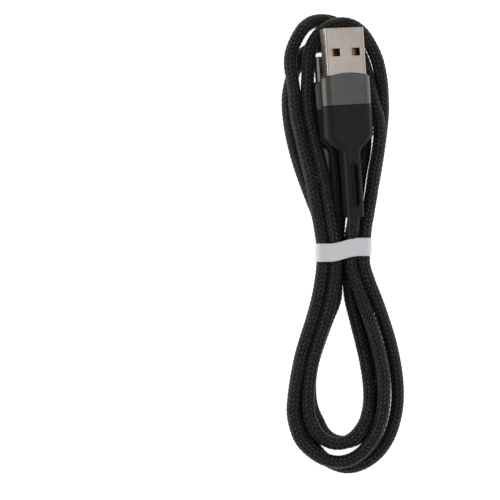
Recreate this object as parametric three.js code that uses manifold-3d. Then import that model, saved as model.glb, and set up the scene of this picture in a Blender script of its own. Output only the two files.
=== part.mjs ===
// A USB-A to USB-C charging cable with a braided jacket, folded into a tied hank.
// Millimetres. +X is across the hank, +Y runs along it towards the plugs, +Z is up.
// The origin is on the table, under the middle of the hank.
import * as THREE from 'three';
import { mergeVertices } from 'three/addons/utils/BufferGeometryUtils.js';
import Module from 'manifold-3d';

const wasm = await Module();
wasm.setup();

const GAP = 0.04;                     // between pieces that touch inside a plug

// Cord and hank
const CORD_DIAMETER = 3.8;
const LAYER = 3.9;                    // height of one layer of cords, and the hank has two
const LAYER_OVERLAP = 0.1;
const HANK_BEVEL = 0.8;
const TOP_OUTLINE = [
  [8.2, -1], [8.6, 4], [9.8, 13.5], [12, 23], [13.1, 31], [13.5, 43], [13, 49.5], [11.8, 54.7],
  [9.8, 59.4], [6.3, 63.2], [0.7, 66.4], [-6.5, 67.3], [-10.8, 66], [-14.2, 62.2], [-16.9, 55],
  [-17.8, 44], [-17, 35], [-15.2, 27.4], [-12.4, 18], [-9.8, 11], [-8.4, 4], [-7.8, -1],
];
const PLUG_OPENING = [                // where the USB-C plug and its tail lie
  [-4.9, 0], [-4.8, 8], [-5.4, 15], [-6, 23], [-8.5, 27.5], [-8.9, 31], [-9.6, 40], [-10.3, 48.6],
  [-9.8, 56.6], [-4.6, 57.6], [0.6, 56.4], [2.2, 48], [2.9, 39], [3.4, 30.6], [1.8, 26], [1.9, 15],
  [2.5, 8], [2.3, 0],
];
const UPPER_OPENING = [               // where the USB-A plug lies, over the lower layer
  [-2, 0], [6.4, 0], [6.5, 13.5], [7.6, 20], [9.2, 28.5], [9.2, 43.5], [20, 44.5], [20, 70],
  [1.4, 70], [1.2, 56], [-2, 50],
];
const LOOP_OUTLINE = [
  [8.2, -1], [7.9, -6.2], [10.6, -13.5], [14.2, -22.1], [16.3, -31.5], [17.6, -40], [17.7, -46],
  [17, -52.5], [14.8, -58.2], [10.4, -63.5], [6, -66.4], [0.8, -67.4], [-5.5, -65.6],
  [-11.1, -61.2], [-14.9, -54.4], [-16.2, -47.6], [-15.8, -40.5], [-13.8, -31.5], [-10.8, -22.1],
  [-8.8, -14], [-7.7, -6.2], [-7.8, -1],
];
const LOOP_HOLE = [
  [0.2, -16], [-2.5, -22.1], [-6.3, -31.5], [-8, -42.6], [-6.7, -49.7], [-3.8, -54.7],
  [-0.5, -57], [3, -55], [5.4, -50.6], [6.1, -45], [5.6, -39.5], [4.3, -31.5], [2, -22.1],
];
const WAIST_WIDTH = 15.6;
const WAIST_HEIGHT = 7.4;
const WAIST_CORNER = 1.8;
const WAIST_MIDDLE = [0, 4.3];        // X and Z
const WAIST_LENGTH = [-6.4, 2];
const TAIL_ROOM = [-5, 6.4];          // the two tails come out of the waist's top between these

// Tie
const TIE_SPAN = [-8.4, 8.4];         // across the hank
const TIE_TOP = 8.6;
const TIE_WALL = 0.4;
const TIE_CORNER = 2;
const TIE_WIDTH = 5.3;
const TIE_MIDDLE = -2;
const TIE_SKEW = 0.85;                // the band lies lower on the left and higher on the right

// Where each plug lies. Angles in degrees.
const USB_A_NECK_END = new THREE.Vector3(2.9, 7.5, 8.6);
const USB_A_YAW = 3.9;                // tip towards -X
const USB_A_PITCH = 3;                // tip up
const USB_A_ROLL = 19;                // left edge up
const USB_A_HINGE = new THREE.Vector3(2.75, 4.4, 8.1);
const USB_C_NECK_END = new THREE.Vector3(-0.9, 8, 3.4);
const USB_C_YAW = 4.6;
const USB_C_PITCH = 0.8;
const USB_C_ROLL = 18;
const USB_C_TAIL_END = new THREE.Vector3(-1.5, 2.7, 3);

// Both plugs share one style. Lengths run from the neck end towards the tip.
const NECK_WIDTH = 5.2;
const NECK_THICKNESS = 5.6;
const NECK_LENGTH = 18.4;
const NECK_CORNER = 1.3;
const BODY_CORNER = 2.75;
const SLOT_WIDTH = 1.4;
const SLOT_LENGTH = 11.5;
const SLOT_MIDDLE = 9.3;
const SLOT_RIM = 1.05;
const SLOT_RIM_PROUD = 0.15;
const CORD_END = 19.6;                // where the jacket stops inside the overmould
const BORE_DIAMETER = 3.88;
const COLLAR_WALL = 0.38;
const WIRE_DIAMETER = 0.96;
const WIRE_SPREAD = 0.62;             // of the four wires, where they leave the jacket
const DISH_DEPTH = 0.35;

const USB_A = {
  width: 15, thickness: 5.8, shoulder: 24, bodyEnd: 32.5, collarPeak: 41.75, collarSide: 40.45,
  mouldFront: 41.15, shellWidth: 12, shellHeight: 4.5, shellWall: 0.3, shellCorner: 0.55,
  shellRear: 36.3, tip: 54.7, dishWidth: 8.6, dishLength: 10, dishMiddle: 26.4,
};
const USB_C = {
  width: 11, thickness: 5.6, shoulder: 22.6, bodyEnd: 31.3, collarPeak: 40, collarSide: 38.9,
  mouldFront: 39.5, shellWidth: 8.34, shellHeight: 2.56, shellWall: 0.2, shellCorner: 1.27,
  shellRear: 36.4, tip: 46.9, dishWidth: 6.4, dishLength: 7.6, dishMiddle: 26,
};

// USB-A insides
const WINDOW_WIDTH = 2.45;
const WINDOW_LENGTH = 2.25;
const WINDOW_SPREAD = 3.1;            // each side of the middle
const WINDOW_FROM_TIP = 7;
const USB_A_CONTACT_SPREAD = [-3.5, -1, 1, 3.5];
const USB_A_CONTACT_WIDTH = 1;
const USB_A_CONTACT_HEIGHT = [-0.28, -0.02];
const USB_A_TAIL_REAR = 33.4;
const TONGUE_TOP = -0.06;
const MOUTH_FLOOR = 43.6;             // how far in the receptacle's tongue reaches

// USB-C insides
const USB_C_CONTACT_STEP = 0.5;
const USB_C_UPPER = [1, 4, 5, 6, 7, 9, 12];
const USB_C_LOWER = [1, 4, 9, 12];
const USB_C_CONTACT_WIDTH = 0.28;
const USB_C_CONTACT_HEIGHT = [0.62, 0.78];
const MOUTH_WIDTH = 6.75;
const MOUTH_HEIGHT = 1.3;
const MOUTH_REAR = 40.2;
const HOUSING_REAR = 38.4;
const BOARD_HALF_THICKNESS = 0.44;
const BOARD_LENGTH = [32.4, 38.2];

const material = (color, roughness, metalness = 0) =>
  new THREE.MeshStandardMaterial({ color, roughness, metalness });
const STEEL = material(0xb9aea6, 0.35, 1);
const GOLD = material(0xc9a24a, 0.3, 1);
const COLLAR_METAL = material(0x6f7570, 0.42, 1);
const OVERMOULD = material(0x202022, 0.6);
const INNER_MOULD = material(0x111113, 0.5);
const INSULATOR = material(0x2c2140, 0.5);
const BRAID = material(0x26241f, 0.85);
const TIE_PLASTIC = material(0xd6d6da, 0.45);
const BOARD = material(0x1c5a3a, 0.5);
const CERAMIC = material(0x1a1a1c, 0.4);
const WIRE_PLASTIC = {
  black: material(0x151515, 0.5), green: material(0x1f6b38, 0.5),
  white: material(0xe8e6e0, 0.5), red: material(0xa81f1f, 0.5),
};

// Booleans

function solidOf(geometry) {
  const plain = geometry.clone();
  plain.deleteAttribute('normal');
  plain.deleteAttribute('uv');
  const merged = mergeVertices(plain, 1e-4);
  return new wasm.Manifold(new wasm.Mesh({
    numProp: 3,
    vertProperties: new Float32Array(merged.attributes.position.array),
    triVerts: new Uint32Array(merged.index.array),
  }));
}

function geometryOf(solid) {
  const { vertProperties, triVerts } = solid.getMesh();
  const geometry = new THREE.BufferGeometry();
  geometry.setAttribute('position', new THREE.BufferAttribute(new Float32Array(vertProperties), 3));
  geometry.setIndex(new THREE.BufferAttribute(new Uint32Array(triVerts), 1));
  return shaded(geometry);
}

function shaded(geometry) {
  const flat = geometry.toNonIndexed();
  flat.computeVertexNormals();
  return flat;
}

function cut(base, ...tools) {
  return geometryOf(tools.reduce((rest, tool) => rest.subtract(solidOf(tool)), solidOf(base)));
}

function join(base, ...others) {
  return geometryOf(others.reduce((whole, other) => whole.add(solidOf(other)), solidOf(base)));
}

// Simple solids

function block([x0, x1], [y0, y1], [z0, z1]) {
  const box = new THREE.BoxGeometry(x1 - x0, y1 - y0, z1 - z0);
  return box.translate((x0 + x1) / 2, (y0 + y1) / 2, (z0 + z1) / 2);
}

function around(middle, width) {
  return [middle - width / 2, middle + width / 2];
}

// A rounded rectangle across Y, counterclockwise in X and Z. y is a number, or a function of x
// that bends the ring, and then the flat top and bottom are divided so that they follow it.
function ring(width, height, corner, y, centre = [0, 0]) {
  const radius = Math.min(corner, width / 2 - 0.01, height / 2 - 0.01);
  const bends = typeof y === 'function';
  const arcSteps = 5;
  const faceSteps = bends ? 8 : 1;
  const outline = [];
  [[1, 1], [-1, 1], [-1, -1], [1, -1]].forEach(([sideX, sideZ], quarter) => {
    const middleX = sideX * (width / 2 - radius);
    const middleZ = sideZ * (height / 2 - radius);
    for (let step = 0; step <= arcSteps; step += 1) {
      const angle = (quarter + step / arcSteps) * Math.PI / 2;
      outline.push([middleX + radius * Math.cos(angle), middleZ + radius * Math.sin(angle)]);
    }
    const crossesTopOrBottom = quarter % 2 === 0;
    for (let step = 1; crossesTopOrBottom && step < faceSteps; step += 1) {
      const x = middleX * (1 - 2 * step / faceSteps);
      outline.push([x, sideZ * height / 2]);
    }
  });
  return outline.map(([x, z]) => {
    const alongY = bends ? y(x + centre[0]) : y;
    return new THREE.Vector3(x + centre[0], alongY, z + centre[1]);
  });
}

// Joins rings with as many points each into one closed surface, with flat ends or as a sleeve.
function skin(rings, isSleeve = false) {
  const count = rings[0].length;
  const vertices = rings.flat();
  const index = [];
  const bands = isSleeve ? rings.length : rings.length - 1;
  for (let band = 0; band < bands; band += 1) {
    const near = band * count;
    const far = ((band + 1) % rings.length) * count;
    for (let i = 0; i < count; i += 1) {
      const next = (i + 1) % count;
      index.push(near + i, far + i, far + next);
      index.push(near + i, far + next, near + next);
    }
  }
  if (!isSleeve) {
    const last = (rings.length - 1) * count;
    for (let i = 1; i < count - 1; i += 1) {
      index.push(0, i, i + 1);
      index.push(last, last + i + 1, last + i);
    }
  }
  const geometry = new THREE.BufferGeometry().setFromPoints(vertices);
  geometry.setIndex(index);
  return shaded(geometry);
}

function bar(width, height, corner, [from, to], centre) {
  return skin([ring(width, height, corner, from, centre), ring(width, height, corner, to, centre)]);
}

function sleeve(outer, wall, from, to, centre) {
  const [width, height, corner] = outer;
  const inner = [width - 2 * wall, height - 2 * wall, Math.max(corner - wall, 0.1)];
  return skin([
    ring(...outer, from, centre), ring(...outer, to, centre),
    ring(...inner, to, centre), ring(...inner, from, centre),
  ], true);
}

function roundBar(diameter, [from, to]) {
  const cylinder = new THREE.CylinderGeometry(diameter / 2, diameter / 2, to - from, 16);
  return cylinder.translate(0, (from + to) / 2, 0);
}

function tube(points, diameter, steps) {
  const section = new THREE.Shape();
  section.absarc(0, 0, diameter / 2, 0, Math.PI * 2);
  const extrudePath = new THREE.CatmullRomCurve3(points);
  return new THREE.ExtrudeGeometry(section, { curveSegments: 4, steps, extrudePath });
}

// A slab with round ends, long in Y
function slotShape(width, length, middle, [low, high]) {
  const straight = (length - width) / 2;
  const outline = new THREE.Shape();
  outline.absarc(0, straight, width / 2, 0, Math.PI);
  outline.absarc(0, -straight, width / 2, Math.PI, Math.PI * 2);
  const slab = new THREE.ExtrudeGeometry(outline, {
    depth: high - low, bevelEnabled: false, curveSegments: 6,
  });
  return slab.translate(0, middle, low);
}

function slab(points, [low, high], bevel) {
  const route = points.map(([x, y]) => new THREE.Vector3(x, y, 0));
  const curve = new THREE.CatmullRomCurve3(route, true, 'centripetal');
  const outline = new THREE.Shape(curve.getPoints(points.length * 3).slice(0, -1)
    .map(({ x, y }) => new THREE.Vector2(x, y)));
  const raised = new THREE.ExtrudeGeometry(outline, {
    depth: high - low - 2 * bevel, bevelEnabled: bevel > 0, bevelSize: bevel, bevelThickness: bevel,
    bevelOffset: -bevel, bevelSegments: 2,
  });
  return raised.translate(0, 0, low + bevel);
}

// A prism on straight-sided points
function prism(points, [low, high]) {
  const outline = new THREE.Shape(points.map(([x, y]) => new THREE.Vector2(x, y)));
  const raised = new THREE.ExtrudeGeometry(outline, { depth: high - low, bevelEnabled: false });
  return raised.translate(0, 0, low);
}

function piece(name, geometry, pieceMaterial) {
  const mesh = new THREE.Mesh(geometry, pieceMaterial);
  mesh.name = name;
  return mesh;
}

// Pieces that both plugs have, drawn with the neck end at Y = 0 and the tip along +Y

function overmould({ width, thickness, shoulder, bodyEnd, dishWidth, dishLength, dishMiddle }) {
  const softEdge = 0.35;
  const rings = [
    ring(NECK_WIDTH - 2 * softEdge, NECK_THICKNESS - 2 * softEdge, NECK_CORNER - softEdge, 0),
    ring(NECK_WIDTH, NECK_THICKNESS, NECK_CORNER, softEdge),
  ];
  const shoulderSteps = 7;
  for (let step = 0; step <= shoulderSteps; step += 1) {
    const along = step / shoulderSteps;
    const ease = (1 - Math.cos(along * Math.PI)) / 2;
    const between = (start, end) => start + (end - start) * ease;
    rings.push(ring(
      between(NECK_WIDTH, width), between(NECK_THICKNESS, thickness),
      between(NECK_CORNER, BODY_CORNER), NECK_LENGTH + (shoulder - NECK_LENGTH) * along,
    ));
  }
  rings.push(ring(width, thickness, BODY_CORNER, bodyEnd));
  const rimReach = NECK_THICKNESS / 2 + SLOT_RIM_PROUD;
  const rim = slotShape(
    SLOT_WIDTH + 2 * SLOT_RIM, SLOT_LENGTH + 2 * SLOT_RIM, SLOT_MIDDLE, [-rimReach, rimReach],
  );
  const tools = [
    roundBar(BORE_DIAMETER, [-1, CORD_END + 1]),
    bar(width - 3.6, thickness - 1.9, 1.6, [CORD_END, bodyEnd + 1]),
    slotShape(SLOT_WIDTH, SLOT_LENGTH, SLOT_MIDDLE, [-rimReach - 1, rimReach + 1]),
  ];
  for (const side of [1, -1]) {
    const dish = new THREE.SphereGeometry(1, 24, 12).rotateX(Math.PI / 2);
    dish.scale(dishWidth / 2, dishLength / 2, 2 * DISH_DEPTH);
    tools.push(dish.translate(0, dishMiddle, side * (thickness / 2 + DISH_DEPTH)));
  }
  return cut(join(skin(rings), rim), ...tools);
}

function innerMould(plug) {
  const { width, thickness, bodyEnd, mouldFront } = plug;
  const { shellWidth, shellHeight, shellCorner, shellRear } = plug;
  const trim = 2 * (COLLAR_WALL + GAP);
  const head = bar(width - trim, thickness - trim, BODY_CORNER - trim / 2, [bodyEnd + GAP, mouldFront]);
  const root = bar(width - 3.7, thickness - 2, 1.55, [bodyEnd - 8, bodyEnd + 1]);
  const pocket = bar(
    shellWidth + 2 * GAP, shellHeight + 2 * GAP, shellCorner + GAP, [shellRear - GAP, mouldFront + 1],
  );
  const channel = bar(shellWidth - 1, 3, 0.6, [bodyEnd - 9, shellRear + 1]);
  return cut(join(head, root), pocket, channel);
}

function collar({ width, thickness, bodyEnd, collarPeak, collarSide }) {
  const rear = () => bodyEnd + GAP;
  const front = (x) => collarPeak - (collarPeak - collarSide) * (2 * x / width) ** 2;
  return sleeve([width, thickness, BODY_CORNER], COLLAR_WALL, rear, front);
}

function shell({ shellWidth, shellHeight, shellCorner, shellWall, shellRear, tip }) {
  return sleeve([shellWidth, shellHeight, shellCorner], shellWall, shellRear, tip);
}

// Four wires, from where the jacket ends to their solder joints
function wires(plugName, jointsByColour) {
  return Object.entries(jointsByColour).map(([colour, [x, y, z]], number) => {
    const startX = (number < 2 ? -1 : 1) * WIRE_SPREAD;
    const startZ = (number % 2 ? -1 : 1) * WIRE_SPREAD;
    const route = [
      [startX, CORD_END + 0.3, startZ], [startX, CORD_END + 2, startZ],
      [(startX + x) / 2, (CORD_END + y) / 2 + 1, (startZ + z) / 2], [x, y - 3, z], [x, y, z],
    ];
    const points = route.map((point) => new THREE.Vector3(...point));
    return piece(`${plugName}_wire_${colour}`, tube(points, WIRE_DIAMETER, 10), WIRE_PLASTIC[colour]);
  });
}

function shared(plugName, plug, plugShell) {
  return [
    piece(`${plugName}_overmould`, overmould(plug), OVERMOULD),
    piece(`${plugName}_inner_mould`, innerMould(plug), INNER_MOULD),
    piece(`${plugName}_collar`, collar(plug), COLLAR_METAL),
    piece(`${plugName}_shell`, plugShell, STEEL),
  ];
}

function plugGroup(neckEnd, ...degrees) {
  const [pitch, roll, yaw] = degrees.map(THREE.MathUtils.degToRad);
  const group = new THREE.Group();
  group.position.copy(neckEnd);
  group.rotation.set(pitch, roll, yaw, 'ZXY');
  group.updateMatrixWorld();
  return group;
}

// USB-A plug

function usbAShell() {
  const windows = [-WINDOW_SPREAD, WINDOW_SPREAD].map((x) => block(
    around(x, WINDOW_WIDTH), around(USB_A.tip - WINDOW_FROM_TIP, WINDOW_LENGTH),
    around(0, USB_A.shellHeight + 1),
  ));
  return cut(shell(USB_A), ...windows);
}

function usbAInsulator() {
  const insideWidth = USB_A.shellWidth - 2 * (USB_A.shellWall + GAP);
  const insideHeight = USB_A.shellHeight - 2 * (USB_A.shellWall + GAP);
  const whole = bar(insideWidth, insideHeight, 0.4, [USB_A.shellRear + 0.4, USB_A.tip - 1]);
  const mouth = block(
    around(0, USB_A.shellWidth), [MOUTH_FLOOR, USB_A.tip], [TONGUE_TOP, USB_A.shellHeight],
  );
  const grooves = USB_A_CONTACT_SPREAD.map((x) => block(
    around(x, USB_A_CONTACT_WIDTH + 2 * GAP), [USB_A.shellRear, USB_A.tip - 1.6],
    [USB_A_CONTACT_HEIGHT[0] - GAP, USB_A_CONTACT_HEIGHT[1] + GAP],
  ));
  return cut(whole, mouth, ...grooves);
}

function usbAContacts() {
  return USB_A_CONTACT_SPREAD.map((x, number) => {
    const isOuter = number === 0 || number === USB_A_CONTACT_SPREAD.length - 1;
    const front = USB_A.tip - (isOuter ? 1.7 : 2.7);
    const strip = block(around(x, USB_A_CONTACT_WIDTH), [USB_A_TAIL_REAR, front], USB_A_CONTACT_HEIGHT);
    return piece(`usb_a_contact_${number + 1}`, strip, GOLD);
  });
}

function usbATail() {
  const onAxis = (y) => new THREE.Vector3(0, y, 0);
  const hinge = usbAPlug.worldToLocal(USB_A_HINGE.clone());
  const outside = onAxis(0).lerp(hinge, 0.4);
  const points = [onAxis(CORD_END), onAxis(10), onAxis(1), outside, hinge];
  const ball = new THREE.SphereGeometry(CORD_DIAMETER / 2, 12, 8).translate(...hinge.toArray());
  return join(tube(points, CORD_DIAMETER, 14), ball);
}

const usbAPlug = plugGroup(USB_A_NECK_END, USB_A_PITCH, USB_A_ROLL, USB_A_YAW);
const usbAJoint = (number) => [USB_A_CONTACT_SPREAD[number], 36, 0.5];
usbAPlug.add(
  ...shared('usb_a', USB_A, usbAShell()),
  piece('usb_a_insulator', usbAInsulator(), INSULATOR),
  ...usbAContacts(),
  ...wires('usb_a', {
    black: usbAJoint(0), green: usbAJoint(1), white: usbAJoint(2), red: usbAJoint(3),
  }),
  piece('usb_a_cord_tail', usbATail(), BRAID),
);

// USB-C plug

function usbCHousing() {
  const insideWidth = USB_C.shellWidth - 2 * (USB_C.shellWall + GAP);
  const insideHeight = USB_C.shellHeight - 2 * (USB_C.shellWall + GAP);
  const front = USB_C.tip - 0.4;
  const body = bar(insideWidth, insideHeight, insideHeight / 2, [HOUSING_REAR, front]);
  const tools = [bar(MOUTH_WIDTH, MOUTH_HEIGHT, 0.3, [MOUTH_REAR, front + 1])];
  const grooveHeight = [USB_C_CONTACT_HEIGHT[0] - 0.1, USB_C_CONTACT_HEIGHT[1] + GAP];
  for (const [contacts, side] of [[USB_C_UPPER, 1], [USB_C_LOWER, -1]]) {
    for (const number of contacts) {
      const height = side > 0 ? grooveHeight : grooveHeight.map((z) => -z).reverse();
      const x = contactX(number);
      tools.push(block(around(x, USB_C_CONTACT_WIDTH + 2 * GAP), [HOUSING_REAR - 1, front - 0.5], height));
    }
  }
  for (const side of [-1, 1]) {
    tools.push(block(around(side * 3.5, 0.34), [MOUTH_REAR, front - 0.3], [-0.35, 0.35]));
  }
  return cut(body, ...tools);
}

function contactX(number) {
  return (number - 6.5) * USB_C_CONTACT_STEP;
}

function usbCContacts(side, numbers, rowName) {
  const height = side > 0 ? USB_C_CONTACT_HEIGHT : USB_C_CONTACT_HEIGHT.map((z) => -z).reverse();
  return numbers.map((number) => {
    const strip = block(
      around(contactX(number), USB_C_CONTACT_WIDTH), [BOARD_LENGTH[1] - 1.4, USB_C.tip - 1], height,
    );
    return piece(`usb_c_contact_${rowName}${number}`, strip, GOLD);
  });
}

function usbCLatch(side) {
  const spring = block(around(side * 3.5, 0.18), [MOUTH_REAR + 0.2, USB_C.tip - 0.9], [-0.28, 0.28]);
  const hook = block(around(side * 3.3, 0.4), [USB_C.tip - 1.9, USB_C.tip - 1.4], [-0.28, 0.28]);
  return join(spring, hook);
}

function usbCTail() {
  const neckPoint = (y) => usbCPlug.localToWorld(new THREE.Vector3(0, y, 0));
  const route = [neckPoint(CORD_END), neckPoint(10), neckPoint(1), neckPoint(-2), USB_C_TAIL_END];
  return tube(route, CORD_DIAMETER, 14);
}

const usbCPlug = plugGroup(USB_C_NECK_END, USB_C_PITCH, USB_C_ROLL, USB_C_YAW);
const boardTop = BOARD_HALF_THICKNESS + WIRE_DIAMETER / 2 + GAP;
const usbCJoint = (x, side) => [x, 35.6, side * boardTop];
usbCPlug.add(
  ...shared('usb_c', USB_C, shell(USB_C)),
  piece('usb_c_housing', usbCHousing(), INSULATOR),
  ...usbCContacts(1, USB_C_UPPER, 'a'),
  ...usbCContacts(-1, USB_C_LOWER, 'b'),
  piece('usb_c_latch_left', usbCLatch(-1), STEEL),
  piece('usb_c_latch_right', usbCLatch(1), STEEL),
  piece(
    'usb_c_board',
    block(around(0, 6.8), BOARD_LENGTH, around(0, 2 * BOARD_HALF_THICKNESS)), BOARD,
  ),
  piece(
    'usb_c_resistor',
    block(around(0, 1), around(33.4, 0.5), [BOARD_HALF_THICKNESS + GAP, BOARD_HALF_THICKNESS + 0.4]),
    CERAMIC,
  ),
  ...wires('usb_c', {
    black: usbCJoint(-2.4, 1), green: usbCJoint(-2.4, -1),
    white: usbCJoint(2.4, 1), red: usbCJoint(2.4, -1),
  }),
);

// Hank: two layers of cord, pinched at a waist where the tie goes round

function hank() {
  const everywhere = [-100, 100];
  const lower = slab(TOP_OUTLINE, [0, LAYER + LAYER_OVERLAP], HANK_BEVEL);
  const upper = cut(
    slab(TOP_OUTLINE, [LAYER - HANK_BEVEL, 2 * LAYER], HANK_BEVEL),
    prism(UPPER_OPENING, [LAYER, 2 * LAYER + 1]),
  );
  const top = cut(
    join(lower, upper), slab(PLUG_OPENING, [-1, 2 * LAYER + 1], 0),
    block(everywhere, [-100, WAIST_LENGTH[1]], everywhere),
  );
  const loop = cut(
    slab(LOOP_OUTLINE, [0, 2 * LAYER], HANK_BEVEL), slab(LOOP_HOLE, [-1, 2 * LAYER + 1], 0),
    block(everywhere, [WAIST_LENGTH[0], 100], everywhere),
  );
  const waistReach = [WAIST_LENGTH[0] - LAYER_OVERLAP, WAIST_LENGTH[1] + LAYER_OVERLAP];
  const waist = cut(
    bar(WAIST_WIDTH, WAIST_HEIGHT, WAIST_CORNER, waistReach, WAIST_MIDDLE),
    block(TAIL_ROOM, [WAIST_LENGTH[1], WAIST_LENGTH[1] + 1], everywhere),
  );
  return join(waist, top, loop);
}

// Tie: a flat band around the waist
function tie() {
  const [left, right] = TIE_SPAN;
  const centre = [(left + right) / 2, TIE_TOP / 2];
  const skew = (x) => TIE_SKEW * THREE.MathUtils.clamp((x - centre[0]) / 5, -1, 1);
  const lowEdge = (x) => TIE_MIDDLE - TIE_WIDTH / 2 + skew(x);
  const highEdge = (x) => TIE_MIDDLE + TIE_WIDTH / 2 + skew(x);
  return sleeve([right - left, TIE_TOP, TIE_CORNER], TIE_WALL, lowEdge, highEdge, centre);
}

const cable = new THREE.Group();
cable.add(
  usbAPlug,
  usbCPlug,
  piece('usb_c_cord_tail', usbCTail(), BRAID),
  piece('cord_hank', hank(), BRAID),
  piece('hank_tie', tie(), TIE_PLASTIC),
);

export default cable;
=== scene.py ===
"""A braided USB-A to USB-C charging cable, folded into a hank and held by a band tie.

Sizes are in millimetres, in the CAD model's frame: +X across the hank, +Y along it towards the
plugs' tips, +Z up. Meshes are scaled to metres when they are made.
"""

import bmesh
import bpy
import numpy as np
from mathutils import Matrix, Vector


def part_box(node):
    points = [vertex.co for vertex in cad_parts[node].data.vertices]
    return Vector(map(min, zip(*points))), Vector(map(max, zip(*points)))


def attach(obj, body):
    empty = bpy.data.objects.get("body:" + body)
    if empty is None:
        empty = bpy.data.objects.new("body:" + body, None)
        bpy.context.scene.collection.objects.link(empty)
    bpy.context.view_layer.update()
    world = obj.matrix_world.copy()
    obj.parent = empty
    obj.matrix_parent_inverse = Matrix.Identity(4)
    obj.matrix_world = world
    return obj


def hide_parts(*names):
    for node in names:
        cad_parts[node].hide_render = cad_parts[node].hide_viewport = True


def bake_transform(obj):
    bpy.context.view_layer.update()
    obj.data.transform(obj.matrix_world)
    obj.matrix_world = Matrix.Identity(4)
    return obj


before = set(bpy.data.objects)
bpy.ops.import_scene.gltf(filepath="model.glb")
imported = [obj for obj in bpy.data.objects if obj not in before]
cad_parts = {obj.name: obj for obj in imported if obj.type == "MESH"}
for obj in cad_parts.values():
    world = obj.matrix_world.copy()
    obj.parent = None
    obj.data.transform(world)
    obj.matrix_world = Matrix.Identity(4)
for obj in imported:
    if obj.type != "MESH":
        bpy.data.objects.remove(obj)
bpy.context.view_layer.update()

MM = 0.001

# Cord
CORD_DIAMETER = 3.8
CORD_CORE = 1.83                      # radius of the jacket between the stitches
STITCH_LIFT = 0.15                    # how far a stitch stands above the core
COLUMNS = 10                          # of stitches around the jacket, which lean by turns
STITCH_PITCH = 1.38
STITCH_LEAN = 1.45                    # how far along the cord a stitch runs while it crosses its column
FILAMENTS = 7                         # of yarn seen side by side in a stitch
ROWS_PER_STITCH = 4
POINTS_PER_COLUMN = 3
CORD_START, CORD_END = 0.5, 20.2      # the cord's straight part inside each plug's neck
TAIL_START = -3.7                     # the last pass is a piece of its own from here, under the tie

# How the given route is settled
PATH_STEP = 1.5                       # between the points that are moved
CLEARANCE = 0.985                     # of touching cords, as a share of the diameter
TABLE_CLEARANCE = 0.02
NEARBY = 1.6                          # diameters within which two points are compared
SETTLING_STEPS, SEARCH_EVERY = 400, 10
PUSH_SHARE = 0.9                      # of an overlap, taken away at each step
EVENING = 0.7                         # how far each step evens the moves of neighbouring points
PULL_BACK = (0.01, 0.01, 0.006)       # share of each point's move given back at each step
HELD_START, HELD_END = 3, 4           # points at each end of the route that stay in place
FIRST_BEND, FIRST_STEPS = 9, 60       # radius below which bends are eased before settling
LAST_BEND, LAST_STEPS = 8, 20         # and after it

# Heights of the cord's axis: on the table, on top of another cord, and the same inside the tie
LOW, HIGH = 1.95, 5.8
TIE_LOW, TIE_HIGH = 2.35, 6.15

# Where the tie holds the cord's axis: within this reach of its middle along Y, in this box
TIE_MIDDLE, TIE_REACH = -2, 2.9
TIE_ROOM = (-6.1, -9, 2.33), (6.45, 9, 6.25)

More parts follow.
